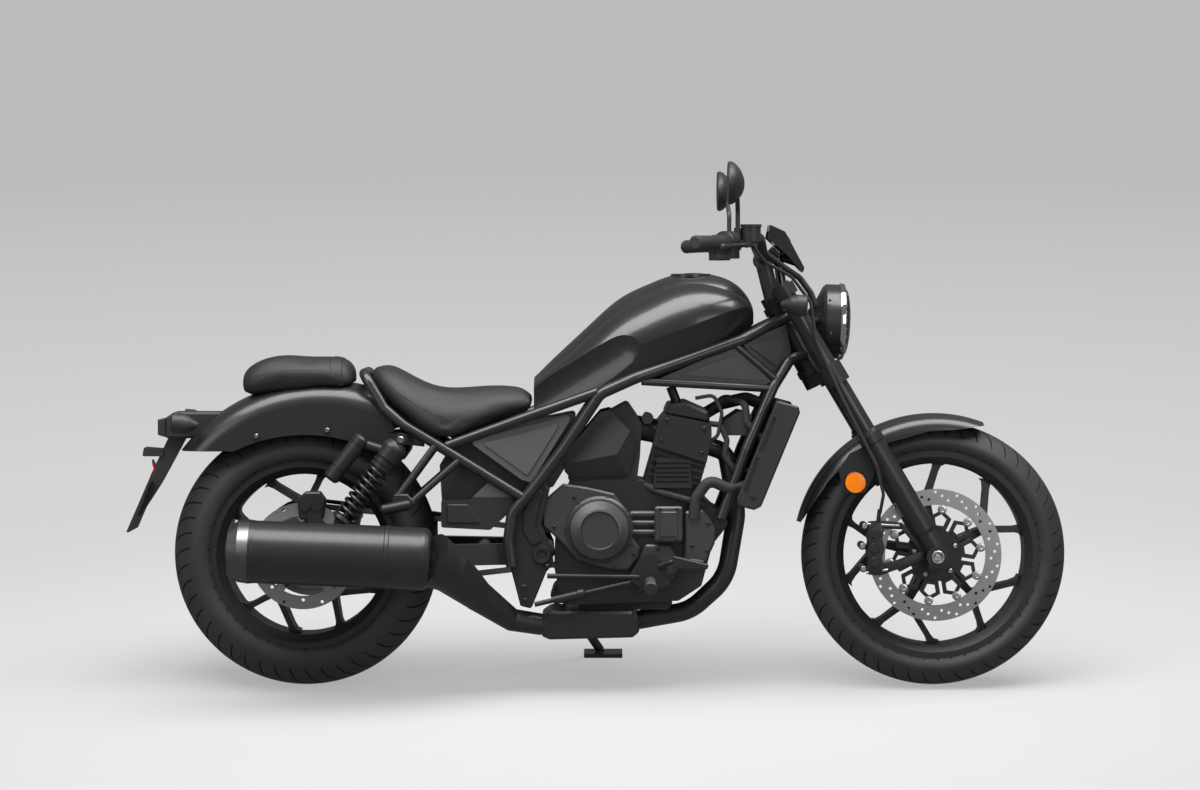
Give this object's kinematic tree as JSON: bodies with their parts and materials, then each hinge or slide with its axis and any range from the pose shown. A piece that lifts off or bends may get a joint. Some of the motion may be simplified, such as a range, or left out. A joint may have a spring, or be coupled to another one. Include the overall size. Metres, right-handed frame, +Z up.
{
  "type": "cruiser motorcycle",
  "caption": "Low road cruiser with a twin engine, round headlight, wide bars, padded seat and pillion pad, side muffler and cast wheels, parked on its side stand.",
  "frame": {"origin": "on the floor under the middle of the machine's overall length and width", "axes": "+X forwards, +Y to the rider's left, +Z up; the machine leans 9 degrees to +Y on its stand"},
  "size_m": [2.2647, 0.8922, 1.2974],
  "materials": {
    "cast_black": "satin",
    "clear": "gloss",
    "dark_grey": "satin",
    "gloss_black": "gloss",
    "light_steel": "satin",
    "muffler_black": "satin",
    "plastic": "matte",
    "rubber": "matte",
    "satin_black": "satin",
    "silver": "brushed",
    "steel": "brushed",
    "tank_paint": "gloss",
    "tyre": "matte",
    "upholstery": "matte"
  },
  "bodies": {
    "chassis": {"airbox": "plastic", "coolant_hoses": "rubber", "crankcase": "cast_black", "cylinder_head": "cast_black", "down_tubes": "satin_black", "drive_chain": "steel", "engine_covers": "dark_grey", "exhaust_collector": "muffler_black", "exhaust_headers": "muffler_black", "exhaust_link": "muffler_black", "fender_rails": "satin_black", "foot_pegs": "cast_black", "front_sprocket": "steel", "fuel_tank": "tank_paint", "head_tube": "satin_black", "main_tubes": "satin_black", "muffler": "muffler_black", "muffler_cap": "silver", "pillion_pad": "upholstery", "pivot_plates": "cast_black", "plate_holder": "plastic", "radiator": "cast_black", "radiator_covers": "plastic", "rear_axle": "steel", "rear_caliper": "cast_black", "rear_fender": "gloss_black", "rear_indicators": "plastic", "seat": "upholstery", "seat_rails": "satin_black", "shock_springs": "satin_black", "shocks": "cast_black", "side_panels": "plastic", "stand_bracket": "satin_black", "swingarm": "light_steel", "tail_lamp": "plastic"},
    "steering": {"fork_tubes": "satin_black", "fork_sliders": "cast_black", "lower_yoke": "cast_black", "upper_yoke": "cast_black", "front_axle": "steel", "front_fender": "satin_black", "front_caliper": "cast_black", "handlebar": "satin_black", "grips": "rubber", "switch_housings": "plastic", "control_levers": "cast_black", "mirrors": "plastic", "headlight_shell": "plastic", "headlight_lens": "clear", "instrument": "plastic", "front_indicators": "plastic", "brake_hoses": "rubber"},
    "front_wheel": {"front_tyre": "tyre", "front_rim": "cast_black", "front_disc": "steel"},
    "rear_wheel": {"rear_tyre": "tyre", "rear_rim": "cast_black", "rear_disc": "steel", "rear_sprocket": "steel"},
    "side_stand": {"side_stand": "satin_black"}
  },
  "joints": [
    {"name": "steering_turn", "type": "hinge", "parent": "chassis", "child": "steering", "pos_m": [0.46598, -0.009, 0.84941], "axis": [-0.4695, 0.1381, 0.8721], "range_deg": [-38, 38]},
    {"name": "front_wheel_spin", "type": "hinge", "parent": "steering", "child": "front_wheel", "pos_m": [0.81325, -0.09342, 0.3164], "axis": [0, 0.9877, -0.1564], "continuous": true},
    {"name": "rear_wheel_spin", "type": "hinge", "parent": "chassis", "child": "rear_wheel", "pos_m": [-0.70675, -0.09329, 0.31724], "axis": [0, 0.9877, -0.1564], "continuous": true},
    {"name": "side_stand_fold", "type": "hinge", "parent": "chassis", "child": "side_stand", "pos_m": [-0.09675, 0.046, 0.18665], "axis": [0.1959, 0.8446, 0.4983], "range_deg": [0, 117.2]}
  ]
}
